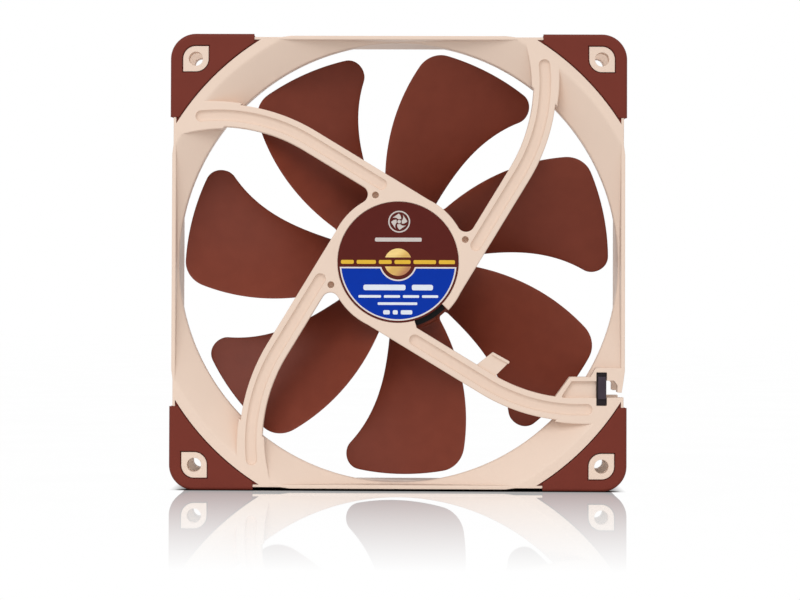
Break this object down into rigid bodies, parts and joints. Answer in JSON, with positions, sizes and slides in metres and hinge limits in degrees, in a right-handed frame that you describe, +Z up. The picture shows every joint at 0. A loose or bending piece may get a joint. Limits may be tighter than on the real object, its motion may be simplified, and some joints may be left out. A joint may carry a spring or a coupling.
{
  "type": "case fan",
  "caption": "Square axial cooling fan for a computer case, with curved struts, corner pads and a round motor hub.",
  "frame": {"origin": "on the rotor's axis, halfway between the faces of the front and rear corner pads", "axes": "+Z up with the fan standing on one edge, +Y from the strut and outlet side towards the intake side along the rotor's axis, +X to the right as seen from the outlet side"},
  "size_m": [0.14, 0.025, 0.14],
  "materials": {
    "frame_plastic": "satin moulded",
    "silicone": "matt silicone rubber",
    "label_film": "printed film",
    "clip_plastic": "moulded",
    "impeller_plastic": "satin moulded, glass-fibre filled",
    "plated_steel": "drawn and plated",
    "polished_steel": "ground",
    "lamination_steel": "stacked laminations",
    "ferrite": "bonded ferrite",
    "brass": "turned",
    "sintered_bronze": "sintered, oil-soaked",
    "nylon": "moulded",
    "dark_polymer": "low-friction polymer",
    "magnet_metal": "nickel-plated",
    "copper_wire": "enamelled wire",
    "tin": "tinned",
    "board": "solder mask",
    "chip_epoxy": "moulded epoxy",
    "ceramic": "ceramic and tin"
  },
  "bodies": {
    "stator": {"frame": "frame_plastic", "rear_pad_top_left": "silicone", "rear_pad_top_right": "silicone", "rear_pad_bottom_right": "silicone", "rear_pad_bottom_left": "silicone", "front_pad_top_left": "silicone", "front_pad_top_right": "silicone", "front_pad_bottom_right": "silicone", "front_pad_bottom_left": "silicone", "label": "label_film", "lead_clip": "clip_plastic", "bearing_shell": "brass", "bearing_sleeve": "sintered_bronze", "oil_seal": "nylon", "thrust_pad": "dark_polymer", "stabiliser_magnet": "magnet_metal", "stator_core": "lamination_steel", "front_insulator": "nylon", "rear_insulator": "nylon", "windings": "copper_wire", "winding_pins": "tin", "circuit_board": "board", "driver_chip": "chip_epoxy", "hall_sensor": "chip_epoxy", "board_parts": "ceramic", "solder_joints": "tin"},
    "rotor": {"impeller": "impeller_plastic", "rotor_yoke": "plated_steel", "ring_magnet": "ferrite", "shaft": "polished_steel", "shaft_bushing": "brass", "retaining_ring": "nylon"}
  },
  "joints": [
    {"name": "rotor_spin", "type": "hinge", "parent": "stator", "child": "rotor", "pos_m": [0, 0, 0], "axis": [0, 1, 0], "continuous": true}
  ]
}
